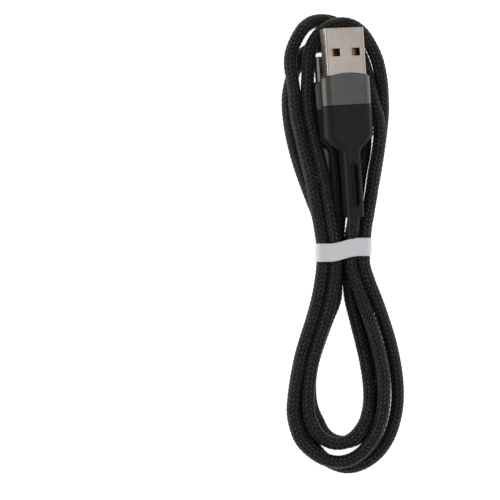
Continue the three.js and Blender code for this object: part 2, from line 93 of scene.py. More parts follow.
# The cord from the USB-C plug's neck to the USB-A plug's neck: X, Y and height
ROUTE = [
    (-0.9, 8, 3.4), (-1.3, 3.4, 3.1), (-1.9, -2, TIE_LOW),
    # bottom fold 1, low
    (-2, -6.2, 2.1), (-1.85, -11.5, LOW), (-2.25, -16.8, LOW), (-4.6, -22.7, LOW), (-6.8, -28.6, LOW),
    (-8.7, -34.6, LOW), (-9.6, -40.5, LOW), (-9.4, -46.2, LOW), (-8.6, -49.6, LOW), (-7, -53, LOW),
    (-4.5, -57.8, LOW), (-0.4, -59.4, LOW), (4, -58, LOW), (7.8, -54.9, LOW), (10.4, -50.9, LOW),
    (11.65, -46.2, LOW), (11.55, -41, LOW), (10.6, -34.6, LOW), (9.25, -28.6, LOW), (7.75, -22.7, LOW),
    (6.5, -15, LOW), (5.8, -6.2, 2.1), (5.5, -2, TIE_LOW),
    # top fold 1, from low on the right to high on the left
    (6.4, 3.2, 2.1), (7.5, 8.2, LOW), (8.3, 13.5, LOW), (9.5, 20, LOW), (10.7, 27.5, LOW),
    (11.45, 33.5, LOW), (11.9, 39, LOW), (11.8, 43.5, LOW), (11.4, 48.5, LOW), (10.3, 53.8, 2),
    (8.4, 58, 2.8), (5.5, 62, 4), (3.1, 63.7, 5), (0.2, 64.7, HIGH), (-4.2, 63.3, HIGH),
    (-7.35, 60.8, HIGH), (-9.4, 57.3, HIGH), (-10.1, 53.8, HIGH), (-10.35, 49.4, HIGH),
    (-10.55, 42.5, HIGH), (-9.8, 36.2, HIGH), (-8.4, 30.3, HIGH), (-7, 24.4, HIGH), (-5.6, 18.5, HIGH),
    (-4.6, 12.6, HIGH), (-3.5, 6.8, 6), (-2.9, 2, 6.1), (-2.5, -2, TIE_HIGH),
    # bottom fold 2, from high on the left to low on the right
    (-2.7, -7, 6), (-3.1, -12, HIGH), (-3.95, -16.8, HIGH), (-5.4, -22.7, HIGH), (-7.35, -28.5, HIGH),
    (-9, -34.3, HIGH), (-9.9, -40.1, HIGH), (-10.3, -46, HIGH), (-9.9, -50.4, HIGH), (-8.1, -54.8, HIGH),
    (-5.4, -58.1, HIGH), (-2.9, -59.3, HIGH), (-0.3, -59.3, HIGH), (2, -58.3, 5.8), (4.1, -56.1, 5.6),
    (6.3, -53, 5), (7.55, -49.2, 3.8), (8.05, -45.6, 2.4), (7.85, -41, LOW), (6.85, -34.6, LOW),
    (5.5, -28.6, LOW), (4, -22.7, LOW), (2.5, -16.8, LOW), (1.9, -11.5, LOW), (1.8, -6.2, 2.1),
    (1.8, -2, TIE_LOW),
    # top fold 2, low, round the USB-C plug
    (2.7, 3.2, 2.1), (3.7, 8, LOW), (4.4, 13.5, LOW), (5.3, 20, LOW), (6.6, 27.5, LOW), (6.8, 33, LOW),
    (6.5, 37, LOW), (5.8, 40.5, LOW), (4.6, 44.5, LOW), (3.7, 48.5, LOW), (2.7, 51.7, LOW),
    (0.9, 54.8, LOW), (-1.9, 57, LOW), (-5.4, 58.2, LOW), (-9, 58.2, LOW), (-11.4, 56.9, LOW),
    (-12.8, 54.4, LOW), (-13.9, 51.5, LOW), (-15.2, 47.8, LOW), (-16, 43.5, LOW), (-16, 39.5, LOW),
    (-15.6, 35.5, LOW), (-14.7, 30.5, LOW), (-13.3, 25, LOW), (-11.85, 20.5, LOW), (-10.05, 15.6, LOW),
    (-8.75, 12.2, LOW), (-7.5, 9, LOW), (-6.65, 5.5, LOW), (-6.1, 2, 2.2), (-5.8, -2, TIE_LOW),
    # bottom fold 3, the outermost, from low on the left to high on the right
    (-5.6, -6.2, 2.1), (-5.8, -11.5, LOW), (-6.3, -16.8, LOW), (-8.3, -22.7, LOW), (-10.4, -28.6, LOW),
    (-12.2, -34.6, LOW), (-13.3, -40.5, LOW), (-13.3, -46, LOW), (-12.8, -50.5, LOW), (-10.8, -55.7, LOW),
    (-7.9, -60.8, LOW), (-4.6, -64.1, LOW), (1.2, -66.25, LOW), (6, -65.1, LOW), (10.4, -62, LOW),
    (13.7, -57.2, LOW), (15.6, -51.5, LOW), (16.3, -46.2, LOW), (16.15, -40.5, LOW), (15.3, -34.6, 2.1),
    (13.85, -28.5, 2.7), (11.95, -22.6, 3.6), (9.75, -16.7, 4.6), (7.3, -10.8, 5.4), (5.8, -6.2, 5.9),
    (6, -2, TIE_HIGH),
    # top fold 3, from high on the right, down under fold 1, to high on the left
    (6.3, 3.2, 6), (7.1, 8.2, HIGH), (8.1, 13.5, HIGH), (9, 20, HIGH), (10.3, 27.5, HIGH),
    (10.7, 32.2, HIGH), (10.3, 36.5, 5.4), (9.3, 40.3, 4.5), (8.5, 43.8, 3.6), (7.9, 47.2, 2.6),
    (7.2, 50.4, LOW), (6.1, 53.9, LOW), (4.8, 56.8, LOW), (3, 60.1, LOW), (0.7, 63.1, LOW),
    (-2.1, 65.1, LOW), (-6.7, 65.8, 2.8), (-10.15, 64.45, 4.4), (-12.75, 61.35, HIGH),
    (-15.1, 56.1, HIGH), (-15.5, 52.5, HIGH), (-14.85, 47.9, HIGH), (-14.3, 44, HIGH),
    (-14.05, 40.5, HIGH), (-13.4, 36.2, HIGH), (-12.4, 32, HIGH), (-11.55, 28, HIGH), (-10.4, 23, HIGH),
    (-9.1, 17.5, HIGH), (-8.1, 12.6, HIGH), (-7, 6.8, HIGH), (-6.4, 2, 6), (-6.1, -2, TIE_HIGH),
    # bottom fold 4, high
    (-5.8, -6.5, 6), (-6.4, -11.5, HIGH), (-7.45, -16.8, HIGH), (-9.1, -22.7, HIGH), (-10.9, -28.5, HIGH),
    (-12.5, -34.3, HIGH), (-13.7, -40.1, HIGH), (-14.4, -45, HIGH), (-14.7, -49.1, HIGH),
    (-14.2, -52.8, HIGH), (-12.3, -57.8, HIGH), (-8.65, -61.5, HIGH), (-4.6, -63.65, HIGH),
    (-0.5, -64.15, HIGH), (3.7, -62.7, HIGH), (7.4, -59.3, HIGH), (9.9, -55.1, HIGH), (11.4, -50.5, HIGH),
    (12, -45.5, HIGH), (11.95, -40.1, HIGH), (11.15, -34.3, HIGH), (9.65, -28.5, HIGH),
    (7.8, -22.6, HIGH), (5.7, -16.7, HIGH), (3.7, -10.8, HIGH), (2.5, -6.2, 6.1), (2.6, -2, 6.1),
    (2.75, 1.2, 6.3), (2.75, 4.4, 8.1), (2.9, 7.5, 8.6),
]

# Plugs. Lengths run from the neck's end, at 0, towards the tip.
NECK_WIDTH = 5.2
NECK_THICKNESS = 5.6
NECK_LENGTH = 18.4
NECK_CORNER = 1.3
BODY_CORNER = 2.75
BORE_DIAMETER = 3.9
SLOT_WIDTH = 1.4
SLOT_LENGTH = 11.5
SLOT_MIDDLE = 9.3
SLOT_DEPTH = 1.25
SLOT_WALL = (-0.12, 0.06)             # where the slot's wall starts and ends, from the slot's edge
SLOT_RIM = 1.05
SLOT_RIM_PROUD = 0.15
SLOT_RIM_RIDGE = 0.3                  # depth of the groove between the rim's two ridges
SLOT_RIM_PITCH = 0.62 * SLOT_RIM      # between those ridges
SLOT_RIM_FADE = (0.8 * SLOT_RIM, 1.1 * SLOT_RIM)
DISH_DEPTH = 0.35
OVERMOULD_SIDE = 1.8                  # walls round the cavity in the body
OVERMOULD_TOP = 0.95
CAVITY_CORNER = 1.6
CAVITY_FROM_SHOULDER = 0.4
COLLAR_WALL = 0.38
COLLAR_BOW = 1.3
SEAM_WIDTH = 0.06                     # of the gap where the shell's sheet meets underneath
SEAM_FROM_REAR, SEAM_FROM_TIP = 0.02, 1.2
SHEET_BEVEL = 0.09                    # of the shell's edges, or less where the sheet is thin

# What differs between the plugs. A dish has a width and a length. Windows have half their distance
# from each other, a width, a length, and the distance of their middle from the tip.
PLUGS = {
    "usb_a": {"body": "usb_a_plug", "shoulder": 24, "dish": (8.6, 10), "dish_middle": 26.4,
              "shell_wall": 0.3, "shell_corner": 0.55, "windows": (3.1, 2.45, 2.25, 7)},
    "usb_c": {"body": "bundle", "shoulder": 22.6, "dish": (6.4, 7.6), "dish_middle": 26,
              "shell_wall": 0.2, "shell_corner": 1.27, "windows": None},
}

# Tie
TIE_WALL = 0.4
TIE_CORNER = 2
TIE_BAND = 5.3                        # its width along Y
TIE_SKEW = 0.85                       # how far its sides lie from the middle along Y
TIE_RAMP = (-4.2, 4.6)                # between these X it crosses from one side to the other
TIE_DIP = 0.05                        # how far the strip sinks between the cords on top
TIE_DIP_START, TIE_DIP_PITCH = 0.4, 5.6

# Camera
CAMERA_PLACE = (-27.28, -2.06, 450)
CAMERA_LENS = 109.2

# The corners of a rectangle, anticlockwise
CORNERS = [(1, 1), (-1, 1), (-1, -1), (1, -1)]

# Edges that turn by more than this are shaded crisp, or bevelled
SHARP_ANGLE = 50
BEVEL_ANGLE, BEVEL_SEGMENTS = 40, 3


# ---- Geometry helpers

def along(points):
    """How far along a line each of its points is."""
    steps = np.linalg.norm(np.diff(points, axis=0), axis=1)
    return np.concatenate([[0], np.cumsum(steps)])


def resampled(points, count):
    """The line through the points, as count points an even distance apart."""
    distance = along(points)
    even = np.linspace(0, distance[-1], count)
    return np.stack([np.interp(even, distance, points[:, k]) for k in range(points.shape[1])], 1)


def smooth_line(points, per_stretch=24):
    """A centripetal Catmull-Rom spline through the points."""
    points = np.array(points, float)
    ends = 2 * points[0] - points[1], 2 * points[-1] - points[-2]
    padded = np.vstack([ends[0], points, ends[1]])
    stretches = []
    for a, b, c, d in zip(padded, padded[1:], padded[2:], padded[3:]):
        gaps = [np.sqrt(np.linalg.norm(step)) for step in (b - a, c - b, d - c)]
        t0, t1, t2, t3 = np.cumsum([0, *gaps])
        t = np.linspace(t1, t2, per_stretch, endpoint=False)[:, None]
        ab = ((t1 - t) * a + (t - t0) * b) / (t1 - t0)
        bc = ((t2 - t) * b + (t - t1) * c) / (t2 - t1)
        cd = ((t3 - t) * c + (t - t2) * d) / (t3 - t2)
        abc = ((t2 - t) * ab + (t - t0) * bc) / (t2 - t0)
        bcd = ((t3 - t) * bc + (t - t1) * cd) / (t3 - t1)
        stretches.append(((t2 - t) * abc + (t - t1) * bcd) / (t2 - t1))
    return np.vstack([*stretches, points[-1:]])


def ease(low, high, value):
    """0 up to low, 1 from high, and a smooth step between."""
    t = np.clip((value - low) / (high - low), 0, 1)
    return t * t * (3 - 2 * t)


def new_object(name, points, faces, uv=None):
    """A mesh object from points in millimetres. uv holds a pair for each corner of each face."""
    mesh = bpy.data.meshes.new(name)
    mesh.from_pydata((np.asarray(points) * MM).tolist(), [], [list(map(int, face)) for face in faces])
    if uv is not None:
        layer = mesh.uv_layers.new(name="weave")
        layer.data.foreach_set("uv", np.asarray(uv, np.float32).ravel())
    mesh.polygons.foreach_set("use_smooth", np.ones(len(mesh.polygons), bool))
    mesh.update()
    made = bpy.data.objects.new(name, mesh)
    bpy.context.scene.collection.objects.link(made)
    return made


def grid_faces(rows, columns, closed_rows=False):
    """Quads between neighbouring rings of points; the last ring joins the first if closed_rows."""
    bands = rows if closed_rows else rows - 1
    row, column = np.meshgrid(np.arange(bands), np.arange(columns), indexing="ij")
    row, column = row.ravel(), column.ravel()
    next_row, next_column = (row + 1) % rows, (column + 1) % columns
    return np.stack([
        row * columns + column, row * columns + next_column,
        next_row * columns + next_column, next_row * columns + column,
    ], 1)


def skin(name, rings):
    """One surface over rings of points, closed from the last ring to the first."""
    rings = np.asarray(rings)
    faces = grid_faces(rings.shape[0], rings.shape[1], True)
    return new_object(name, rings.reshape(-1, 3), faces)


def rounded(width, height, corner, count):
    """Even points round a rectangle with round corners, from the middle of its right side."""
    corner = min(corner, width / 2 - 1e-3, height / 2 - 1e-3)
    quarter = np.linspace(0, np.pi / 2, 24)
    outline = [[[width / 2, 0]]]
    for turn, (side_x, side_z) in enumerate(CORNERS):
        angle = quarter + turn * np.pi / 2
        x = side_x * (width / 2 - corner) + corner * np.cos(angle)
        z = side_z * (height / 2 - corner) + corner * np.sin(angle)
        outline.append(np.stack([x, z], 1))
    outline.append([[width / 2, 0]])
    return resampled(np.vstack(outline), count + 1)[:-1]


def ring(width, height, corner, y, count):
    """The points of rounded() at y, which is a number or a function of x."""
    outline = rounded(width, height, corner, count)
    depth = y(outline[:, 0]) if callable(y) else np.full(count, float(y))
    return np.stack([outline[:, 0], depth, outline[:, 1]], 1)


def mark_sharp(made):
    """Keeps the shading of clear edges crisp."""
    made.data.set_sharp_from_angle(angle=np.radians(SHARP_ANGLE))


def bevel(made, width):
    """Rounds every edge that turns by more than BEVEL_ANGLE."""
    work = bmesh.new()
    work.from_mesh(made.data)
    limit = np.radians(BEVEL_ANGLE)
    edges = [e for e in work.edges if len(e.link_faces) == 2 and e.calc_face_angle() > limit]
    bmesh.ops.bevel(
        work, geom=edges, offset=width * MM, segments=BEVEL_SEGMENTS, profile=0.5, affect="EDGES",
        clamp_overlap=True,
    )
    work.to_mesh(made.data)
    work.free()
    made.data.polygons.foreach_set("use_smooth", np.ones(len(made.data.polygons), bool))


# ---- The plugs' own frames, read from the CAD nodes

def node_points(node):
    """The corners of a CAD node's mesh, in millimetres."""
    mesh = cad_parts[node].data
    flat = np.empty(len(mesh.vertices) * 3)
    mesh.vertices.foreach_get("co", flat)
    return flat.reshape(-1, 3) / MM


class Plug:
    """A plug's axes (across, towards the tip, up) and the middle of its neck's end."""

    def __init__(self, name):
        self.name = name
        self.sizes = PLUGS[name]
        # the shell is longest towards the tip and shortest upwards
        shell = node_points(name + "_shell")
        spread = shell - shell.mean(0)
        _, directions = np.linalg.eigh(spread.T @ spread)
        towards_tip = directions[:, 2] * np.sign(directions[1, 2])
        up = directions[:, 0] * np.sign(directions[2, 0])
        self.axes = np.stack([np.cross(towards_tip, up), towards_tip, up])
        self.origin = np.zeros(3)
        low, high = self.reach("shell")
        centre = (low + high) / 2
        centre[1] = self.reach("overmould")[0][1]
        self.origin = centre @ self.axes

    def local(self, points):
        """Points of the model along the plug's axes."""
        return (points - self.origin) @ self.axes.T

    def world(self, points):
        """Points along the plug's axes in the model's."""
        return self.origin + np.asarray(points) @ self.axes

    def reach(self, part):
        """The lowest and highest corner of one of its CAD nodes, along its own axes."""
        points = self.local(node_points(f"{self.name}_{part}"))
        return points.min(0), points.max(0)

    def place(self, made):
        """Moves a mesh from the plug's axes to the model's."""
        flat = np.empty(len(made.data.vertices) * 3)
        made.data.vertices.foreach_get("co", flat)
        moved = self.world(flat.reshape(-1, 3) / MM) * MM
        made.data.vertices.foreach_set("co", moved.ravel())
        made.data.update()


# ---- The cord's line

def relaxed(line):
    """Moves the line as little as needed, so that no two runs are closer than a diameter."""
    gap = CORD_DIAMETER * CLEARANCE
    skip = int(np.ceil(NEARBY * CORD_DIAMETER / PATH_STEP))
    first, second = np.triu_indices(len(line), skip)
    held = np.zeros(len(line), bool)
    held[:HELD_START] = True
    held[-HELD_END:] = True
    now = line.copy()
    for step in range(SETTLING_STEPS):
        if step % SEARCH_EVERY == 0:
            near = np.linalg.norm(now[second] - now[first], axis=1) < NEARBY * gap
            a, b = first[near], second[near]
        apart = now[b] - now[a]
        distance = np.linalg.norm(apart, axis=1)
        hit = distance < gap
        push = apart[hit] * ((gap - distance[hit]) / 2 / distance[hit])[:, None]
        move = np.zeros_like(now)
        count = np.zeros(len(now))
        for ends, direction in ((a[hit], -1), (b[hit], 1)):
            np.add.at(move, ends, direction * push)
            np.add.at(count, ends, 1)
        offset = now - line + PUSH_SHARE * move / np.maximum(count, 1)[:, None]
        even = offset.copy()
        even[1:-1] = (offset[:-2] + 2 * offset[1:-1] + offset[2:]) / 4
        offset += (even - offset) * EVENING
        offset *= 1 - np.array(PULL_BACK)
        now = line + offset
        now[:, 2] = np.maximum(now[:, 2], CORD_DIAMETER / 2 + TABLE_CLEARANCE)
        tied = np.abs(now[:, 1] - TIE_MIDDLE) < TIE_REACH
        now[tied] = np.clip(now[tied], *TIE_ROOM)
        now[held] = line[held]
    return now


def unbent(line, radius, steps):
    """Eases the line where it bends tighter than a radius."""
    now = line.copy()
    for _ in range(steps):
        before, here, after = now[:-2], now[1:-1], now[2:]
        turn = np.linalg.norm(before - 2 * here + after, axis=1) / PATH_STEP ** 2
        tight = np.clip(turn * radius - 1, 0, 1)
        spread = np.convolve(tight, [0.25, 0.5, 0.25], "same")[:, None]
        now[1:-1] += spread * 0.5 * ((before + after) / 2 - here)
    return now


def cord_line(plugs):
    """The whole axis of the cord, from inside the USB-C plug to inside the USB-A plug."""
    route = smooth_line(ROUTE)
    count = int(round(along(route)[-1] / PATH_STEP)) + 1
    eased = unbent(resampled(route, count), FIRST_BEND, FIRST_STEPS)
    line = unbent(relaxed(eased), LAST_BEND, LAST_STEPS)
    inside = np.array([(0, y, 0) for y in np.linspace(CORD_START, CORD_END, 14)])
    start = plugs["usb_c"].world(inside[::-1])
    end = plugs["usb_a"].world(inside)
    return smooth_line(np.vstack([start, line, end]), 6)


def turning_frames(line):
    """Unit vectors along the line and two across it, which turn as little as they can."""
    ahead = np.gradient(line, axis=0)
    ahead /= np.linalg.norm(ahead, axis=1)[:, None]
    side = np.empty_like(line)
    side[0] = np.cross(ahead[0], (0, 0, 1))
    for i in range(1, len(line)):
        flat = side[i - 1] - ahead[i] * (side[i - 1] @ ahead[i])
        side[i] = flat / np.linalg.norm(flat)
    return ahead, side, np.cross(side, ahead)


def braid(name, line):
    """A jacket of leaning stitches round the line. Its rows follow the stitches' zigzag."""
    distance = along(line)
    _, side, up = turning_frames(line)
    around = COLUMNS * POINTS_PER_COLUMN
    column = np.arange(around) / POINTS_PER_COLUMN
    zigzag = 1 - np.abs(column % 2 - 1)
    rows = int(distance[-1] / STITCH_PITCH * ROWS_PER_STITCH) + 1
    row = np.arange(rows)
    shift = STITCH_LEAN * (zigzag - 0.5)
    place = row[:, None] * STITCH_PITCH / ROWS_PER_STITCH + shift[None, :]
    place = np.clip(place, 0, distance[-1])
    wave = 0.5 + 0.5 * np.cos(2 * np.pi * row / ROWS_PER_STITCH)
    crown = np.sin(np.pi * (column % 1)) ** 0.5
    at_seam = 0.3
    lift = wave[:, None] * (at_seam + (1 - at_seam) * crown[None, :])
    radius = CORD_CORE + STITCH_LIFT * lift
    angle = 2 * np.pi * column / COLUMNS

    def at(values):
        return np.stack([np.interp(place, distance, values[:, k]) for k in range(3)], -1)

    points = at(line) + radius[..., None] * (
        np.cos(angle)[None, :, None] * at(side) + np.sin(angle)[None, :, None] * at(up)
    )
    faces = grid_faces(rows, around)
    across = np.arange(around + 1) / POINTS_PER_COLUMN
    r, c = np.divmod(np.arange(len(faces)), around)
    corner = [(c, r), (c + 1, r), (c + 1, r + 1), (c, r + 1)]
    uv = np.stack([np.stack([across[cc], rr / ROWS_PER_STITCH], 1) for cc, rr in corner], 1)
    caps = [list(range(around))[::-1], list(range((rows - 1) * around, rows * around))]
    uv = np.vstack([uv.reshape(-1, 2), np.zeros((2 * around, 2))])
    return new_object(name, points.reshape(-1, 3), [*faces, *caps], uv)


# ---- Plug pieces

def overmould(plug):
    """The black moulding: a neck with a slotted strain relief, a shoulder, and a body with dishes."""
    low, high = plug.reach("overmould")
    body_width, body_end = high[0] - low[0], high[1]
    thickness = plug.reach("collar")[1][2] - plug.reach("collar")[0][2]
    shoulder = plug.sizes["shoulder"]
    count = 208
    edge_neck, edge_body = 0.4, 0.15
    spacing, margin = 0.16, 0.1
    soft = np.linspace(0, np.pi / 2, 6)
    lengths = np.concatenate([
        edge_neck * (1 - np.cos(soft)),
        np.arange(edge_neck + margin, body_end - edge_body - margin, spacing),
        body_end - edge_body * (1 - np.sin(soft)),
    ])
    rings = []
    for y in lengths:
        grown = (1 - np.cos(np.pi * np.clip((y - NECK_LENGTH) / (shoulder - NECK_LENGTH), 0, 1))) / 2
        width = NECK_WIDTH + (body_width - NECK_WIDTH) * grown
        height = NECK_THICKNESS + (thickness - NECK_THICKNESS) * grown
        corner = NECK_CORNER + (BODY_CORNER - NECK_CORNER) * grown
        inset = 0
        if y < edge_neck:
            inset = edge_neck * (1 - np.sqrt(1 - (1 - y / edge_neck) ** 2))
        if y > body_end - edge_body:
            inset = edge_body * (1 - np.sqrt(max(0, 1 - ((y - body_end) / edge_body + 1) ** 2)))
        rings.append(ring(width - 2 * inset, height - 2 * inset, corner - inset, y, count))
    outer = np.array(rings)
    outer[..., 2] += np.sign(outer[..., 2]) * relief(plug, outer)
    cavity_size = body_width - 2 * OVERMOULD_SIDE, thickness - 2 * OVERMOULD_TOP
    cavity = ring(*cavity_size, CAVITY_CORNER, body_end, count)
    bore = ring(BORE_DIAMETER, BORE_DIAMETER, BORE_DIAMETER / 2, 0, count)
    cavity_start = (0, shoulder + CAVITY_FROM_SHOULDER, 0)
    inner = [cavity, cavity * (1, 0, 1) + cavity_start, bore + cavity_start, bore]
    made = skin(plug.name + "_overmould_moulding", [*outer, *inner])
    mark_sharp(made)
    return made


def relief(plug, points):
    """How far the moulding's top and bottom faces rise or sink at each point."""
    x, y, z = points[..., 0], points[..., 1], np.abs(points[..., 2])
    dish_width, dish_length = plug.sizes["dish"]
    from_middle = np.hypot(x / (dish_width / 2), (y - plug.sizes["dish_middle"]) / (dish_length / 2))
    dish = -DISH_DEPTH * np.sqrt(np.clip(1 - from_middle ** 2, 0, 1))
    straight = (SLOT_LENGTH - SLOT_WIDTH) / 2
    beyond = np.maximum(np.abs(y - SLOT_MIDDLE) - straight, 0)
    from_slot = np.hypot(x, beyond) - SLOT_WIDTH / 2
    plateau = NECK_THICKNESS / 2 + SLOT_RIM_PROUD - z
    ridges = SLOT_RIM_RIDGE * (np.cos(from_slot * 2 * np.pi / SLOT_RIM_PITCH) - 1) / 2
    rim = (plateau + ridges) * (1 - ease(*SLOT_RIM_FADE, from_slot))
    sunk = -SLOT_DEPTH * (1 - ease(*SLOT_WALL, from_slot))
    on_face = z > NECK_THICKNESS / 4
    on_neck = on_face & (y < NECK_LENGTH)
    return np.where(on_neck, rim, 0) + np.where(on_face, dish, 0) + np.where(on_neck, sunk, 0)


def collar(plug):
    """The metal sleeve, whose front edge bows towards the tip."""
    low, high = plug.reach("collar")
    width, height = high[0] - low[0], high[2] - low[2]
    count = 192
    edge = 0.13
    soft = np.linspace(0, np.pi / 2, 5)

    def front(x):
        return high[1] - COLLAR_BOW * (2 * x / width) ** 2

    def at(share, inset):
        def depth(x):
            return low[1] + (front(x) - low[1]) * share
        return ring(width - 2 * inset, height - 2 * inset, BODY_CORNER - inset, depth, count)

    rings = []
    for angle in soft:
        back = at(0, edge * (1 - np.sin(angle)))
        back[:, 1] += edge * (1 - np.cos(angle))
        rings.append(back)
    rings += [at(share, 0) for share in np.linspace(0.1, 0.9, 9)]
    for angle in soft[::-1]:
        fore = at(1, edge * (1 - np.sin(angle)))
        fore[:, 1] -= edge * (1 - np.cos(angle))
        rings.append(fore)
    rings += [at(1, COLLAR_WALL), at(0, COLLAR_WALL)]
    made = skin(plug.name + "_collar_sleeve", rings)
    mark_sharp(made)
    return made


def shell_outline(width, height, corner, across):
    """The points round the shell and the outward direction at each; across holds the flats' x."""
    outline, outward = [], []
    for turn, (side_x, side_z) in enumerate(CORNERS):
        centre = np.array([side_x * (width / 2 - corner), side_z * (height / 2 - corner)])
        for angle in np.linspace(0, np.pi / 2, 9) + turn * np.pi / 2:
            normal = np.array([np.cos(angle), np.sin(angle)])
            outline.append(centre + corner * normal)
            outward.append(normal)
        if side_x == side_z:
            for x in across[::-1] if side_z > 0 else across:
                outline.append(np.array([x, side_z * height / 2]))
                outward.append(np.array([0, side_z]))
    return np.array(outline), np.array(outward)


def sheet_faces(solid, offset):
    """Faces of a sheet whose cells are solid or open; offset separates its outer and inner points."""
    bands, count = solid.shape
    faces = []
    for i, j in np.argwhere(solid).tolist():
        k = (j + 1) % count
        a, b, c, d = i * count + j, i * count + k, (i + 1) * count + k, (i + 1) * count + j
        faces += [(a, b, c, d), (offset + d, offset + c, offset + b, offset + a)]
        if i == 0 or not solid[i - 1, j]:
            faces.append((b, a, offset + a, offset + b))
        if i == bands - 1 or not solid[i + 1, j]:
            faces.append((d, c, offset + c, offset + d))
        if not solid[i, j - 1]:
            faces.append((a, d, offset + d, offset + a))
        if not solid[i, k]:
            faces.append((c, b, offset + b, offset + c))
    return faces


def shell(plug):
    """The folded sheet of the plug's shell, with its latch windows and the seam underneath."""
    low, high = plug.reach("shell")
    width, height = high[0] - low[0], high[2] - low[2]
    corner, wall = plug.sizes["shell_corner"], plug.sizes["shell_wall"]
    rear, tip = low[1], high[1]
    seam = SEAM_WIDTH / 2
    seam_ends = rear + SEAM_FROM_REAR, tip - SEAM_FROM_TIP
    breaks_x = {-seam, seam}
    breaks_y = {rear, tip, *seam_ends, *np.linspace(rear, tip, 12)}
    # each hole: its sides, its ends, and whether it is in the top (1) or the bottom (-1)
    holes = [(-seam, seam, *seam_ends, -1)]
    if plug.sizes["windows"]:
        spread, wide, long, from_tip = plug.sizes["windows"]
        ends = tip - from_tip - long / 2, tip - from_tip + long / 2
        breaks_y.update(ends)
        for middle in (-spread, spread):
            sides = middle - wide / 2, middle + wide / 2
            breaks_x.update(sides)
            holes += [(*sides, *ends, 1), (*sides, *ends, -1)]
    flats = np.linspace(corner - width / 2, width / 2 - corner, 9)
    across = np.array(sorted({*breaks_x, *flats}))[1:-1]
    lengths = np.array(sorted(breaks_y))
    outline, outward = shell_outline(width, height, corner, across)
    inner = outline - wall * outward
    count = len(outline)

    def layer(line):
        rings = np.empty((len(lengths), count, 3))
        rings[..., 0], rings[..., 2] = line[:, 0], line[:, 1]
        rings[..., 1] = lengths[:, None]
        return rings.reshape(-1, 3)

    points = np.vstack([layer(outline), layer(inner)])
    solid = np.ones((len(lengths) - 1, count), bool)
    middles = (outline + np.roll(outline, -1, axis=0)) / 2
    bands = (lengths[:-1] + lengths[1:]) / 2
    for x0, x1, y0, y1, side in holes:
        on_face = (np.sign(middles[:, 1]) == side) & (np.abs(middles[:, 1]) > height / 2 - 1e-6)
        open_columns = on_face & (x0 < middles[:, 0]) & (middles[:, 0] < x1)
        solid[np.outer((y0 < bands) & (bands < y1), open_columns)] = False
    faces = sheet_faces(solid, len(lengths) * count)
    made = new_object(plug.name + "_shell_sheet", points, faces)
    work = bmesh.new()
    work.from_mesh(made.data)
    bmesh.ops.delete(work, geom=[v for v in work.verts if not v.link_faces], context="VERTS")
    bmesh.ops.recalc_face_normals(work, faces=work.faces)
    work.to_mesh(made.data)
    work.free()
    bevel(made, min(SHEET_BEVEL, wall * 0.4))
    mark_sharp(made)
    return made


# ---- Tie

def tie():
    """The plastic strip round the hank, which lies lower on the left and higher on the right."""
    low, high = (np.array(corner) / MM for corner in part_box("hank_tie"))
    width, height = high[0] - low[0], high[2] - low[2]
    centre_x, centre_z = (low[0] + high[0]) / 2, (low[2] + high[2]) / 2
    middle = (low[1] + high[1]) / 2
    count = 240

    def layer(inset, share):
        outline = rounded(width - 2 * inset, height - 2 * inset, TIE_CORNER - inset, count)
        x = outline[:, 0] + centre_x
        slope = 2 * ease(*TIE_RAMP, outline[:, 0]) - 1
        phase = (outline[:, 0] - TIE_DIP_START) * 2 * np.pi / TIE_DIP_PITCH
        dip = TIE_DIP * (np.cos(phase) - 1)
        z = outline[:, 1] + centre_z + np.where(outline[:, 1] > height / 3, dip, 0)
        y = middle + TIE_SKEW * slope + TIE_BAND * (share - 0.5)
        return np.stack([x, y, z], 1)

    edge = TIE_WALL / 2
    soft = np.linspace(0, np.pi, 9)
    shares = np.linspace(0.05, 0.95, 15)
    rings = [layer(0, share) for share in shares]
    rings += [layer(edge * (1 - np.cos(a)), 1 - (edge - edge * np.sin(a)) / TIE_BAND) for a in soft]
    rings += [layer(TIE_WALL, share) for share in shares[::-1]]
    rings += [layer(edge * (1 + np.cos(a)), (edge - edge * np.sin(a)) / TIE_BAND) for a in soft]
    return skin("hank_tie_strip", rings)


# ---- Materials

def colour(red, green, blue):
    """A linear colour from display values of 0 to 255."""
    values = np.array([red, green, blue]) / 255
    linear = np.where(values <= 0.04045, values / 12.92, ((values + 0.055) / 1.055) ** 2.4)
    return (*[float(v) for v in linear], 1)


